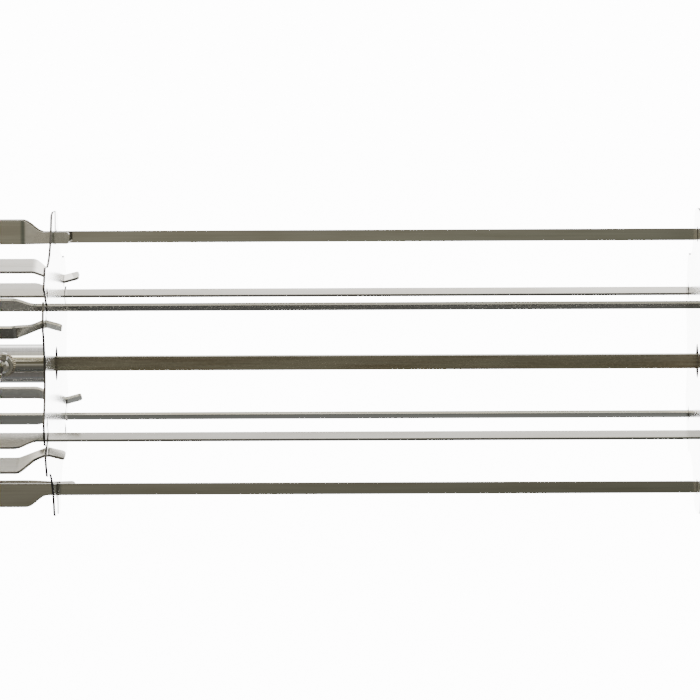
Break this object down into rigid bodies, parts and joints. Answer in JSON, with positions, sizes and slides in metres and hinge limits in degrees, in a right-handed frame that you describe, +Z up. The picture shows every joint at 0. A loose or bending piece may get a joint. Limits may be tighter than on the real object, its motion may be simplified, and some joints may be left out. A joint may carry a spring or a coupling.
{
  "type": "rotisserie spit roaster",
  "caption": "Rotisserie spit with lobed wheels clamped on a square rod and spring-handled flat skewers held in a ring between them.",
  "frame": {"origin": "centre of the support bush at the handle end, on the spit's axis", "axes": "+X along the spit towards the skewer tips and the square drive end, +Z up through the top skewer, +Y away from the side with the left wing screw"},
  "size_m": [0.753, 0.1936, 0.205],
  "materials": {
    "bush_bronze": "satin",
    "spit_steel": "heat-stained, worn",
    "small_steel": "satin",
    "plate_steel": "polished sheet",
    "hub_steel": "polished",
    "screw_steel": "bright plated",
    "skewer_steel": "brushed lengthwise"
  },
  "bodies": {
    "bush": {"support_bush": "bush_bronze"},
    "spit": {"spit_rod": "spit_steel", "thrust_washer": "small_steel", "retaining_clip": "small_steel"},
    "left_wheel": {"left_plate": "plate_steel", "left_hub_tube": "hub_steel", "left_inner_guide_disc": "plate_steel", "left_outer_guide_disc": "plate_steel", "left_screw_boss": "screw_steel"},
    "left_screw": {"left_wing_screw": "screw_steel"},
    "right_wheel": {"right_plate": "plate_steel", "right_hub_tube": "hub_steel", "right_inner_guide_disc": "plate_steel", "right_outer_guide_disc": "plate_steel", "right_screw_boss": "screw_steel"},
    "right_screw": {"right_wing_screw": "screw_steel"},
    "skewer_1_body": {"skewer_1": "skewer_steel"},
    "skewer_1_spring": {"skewer_1_spring_leg": "skewer_steel"},
    "skewer_2_body": {"skewer_2": "skewer_steel"},
    "skewer_2_spring": {"skewer_2_spring_leg": "skewer_steel"},
    "skewer_3_body": {"skewer_3": "skewer_steel"},
    "skewer_3_spring": {"skewer_3_spring_leg": "skewer_steel"},
    "skewer_4_body": {"skewer_4": "skewer_steel"},
    "skewer_4_spring": {"skewer_4_spring_leg": "skewer_steel"},
    "skewer_5_body": {"skewer_5": "skewer_steel"},
    "skewer_5_spring": {"skewer_5_spring_leg": "skewer_steel"},
    "skewer_6_body": {"skewer_6": "skewer_steel"},
    "skewer_6_spring": {"skewer_6_spring_leg": "skewer_steel"}
  },
  "joints": [
    {"name": "spit_spin", "type": "hinge", "parent": "bush", "child": "spit", "pos_m": [0, 0, 0], "axis": [1, 0, 0], "continuous": true},
    {"name": "left_wheel_slide", "type": "slide", "parent": "spit", "child": "left_wheel", "axis": [1, 0, 0], "range_m": [-0.005, 0.06]},
    {"name": "right_wheel_slide", "type": "slide", "parent": "spit", "child": "right_wheel", "axis": [1, 0, 0], "range_m": [-0.15, 0.008]},
    {"name": "left_wing_screw_turn", "type": "hinge", "parent": "left_wheel", "child": "left_screw", "pos_m": [0.116, 0, 0], "axis": [0, -1, 0], "range_deg": [0, 360]},
    {"name": "right_wing_screw_turn", "type": "hinge", "parent": "right_wheel", "child": "right_screw", "pos_m": [0.614, 0, 0], "axis": [0, 1, 0], "range_deg": [0, 360]},
    {"name": "skewer_1_pull", "type": "slide", "parent": "left_wheel", "child": "skewer_1_body", "axis": [-1, 0, 0], "range_m": [0, 0.022]},
    {"name": "skewer_1_squeeze", "type": "hinge", "parent": "skewer_1_body", "child": "skewer_1_spring", "pos_m": [0.08, -0.019, 0.08925], "axis": [0, 0, 1], "range_deg": [0, 4.6]},
    {"name": "skewer_2_pull", "type": "slide", "parent": "left_wheel", "child": "skewer_2_body", "axis": [-1, 0, 0], "range_m": [0, 0.022]},
    {"name": "skewer_2_squeeze", "type": "hinge", "parent": "skewer_2_body", "child": "skewer_2_spring", "pos_m": [0.08, -0.08679, 0.02817], "axis": [0, -0.866, 0.5], "range_deg": [0, 4.6]},
    {"name": "skewer_3_pull", "type": "slide", "parent": "left_wheel", "child": "skewer_3_body", "axis": [-1, 0, 0], "range_m": [0, 0.022]},
    {"name": "skewer_3_squeeze", "type": "hinge", "parent": "skewer_3_body", "child": "skewer_3_spring", "pos_m": [0.08, -0.06779, -0.06108], "axis": [0, -0.866, -0.5], "range_deg": [0, 4.6]},
    {"name": "skewer_4_pull", "type": "slide", "parent": "left_wheel", "child": "skewer_4_body", "axis": [-1, 0, 0], "range_m": [0, 0.022]},
    {"name": "skewer_4_squeeze", "type": "hinge", "parent": "skewer_4_body", "child": "skewer_4_spring", "pos_m": [0.08, 0.019, -0.08925], "axis": [0, 0, -1], "range_deg": [0, 4.6]},
    {"name": "skewer_5_pull", "type": "slide", "parent": "left_wheel", "child": "skewer_5_body", "axis": [-1, 0, 0], "range_m": [0, 0.022]},
    {"name": "skewer_5_squeeze", "type": "hinge", "parent": "skewer_5_body", "child": "skewer_5_spring", "pos_m": [0.08, 0.08679, -0.02817], "axis": [0, 0.866, -0.5], "range_deg": [0, 4.6]},
    {"name": "skewer_6_pull", "type": "slide", "parent": "left_wheel", "child": "skewer_6_body", "axis": [-1, 0, 0], "range_m": [0, 0.022]},
    {"name": "skewer_6_squeeze", "type": "hinge", "parent": "skewer_6_body", "child": "skewer_6_spring", "pos_m": [0.08, 0.06779, 0.06108], "axis": [0, 0.866, 0.5], "range_deg": [0, 4.6]}
  ],
  "couplings": [
    {"joint": "skewer_1_squeeze", "follows": "skewer_1_pull", "rad_per_m": 3.4},
    {"joint": "skewer_2_squeeze", "follows": "skewer_2_pull", "rad_per_m": 3.4},
    {"joint": "skewer_3_squeeze", "follows": "skewer_3_pull", "rad_per_m": 3.4},
    {"joint": "skewer_4_squeeze", "follows": "skewer_4_pull", "rad_per_m": 3.4},
    {"joint": "skewer_5_squeeze", "follows": "skewer_5_pull", "rad_per_m": 3.4},
    {"joint": "skewer_6_squeeze", "follows": "skewer_6_pull", "rad_per_m": 3.4}
  ]
}
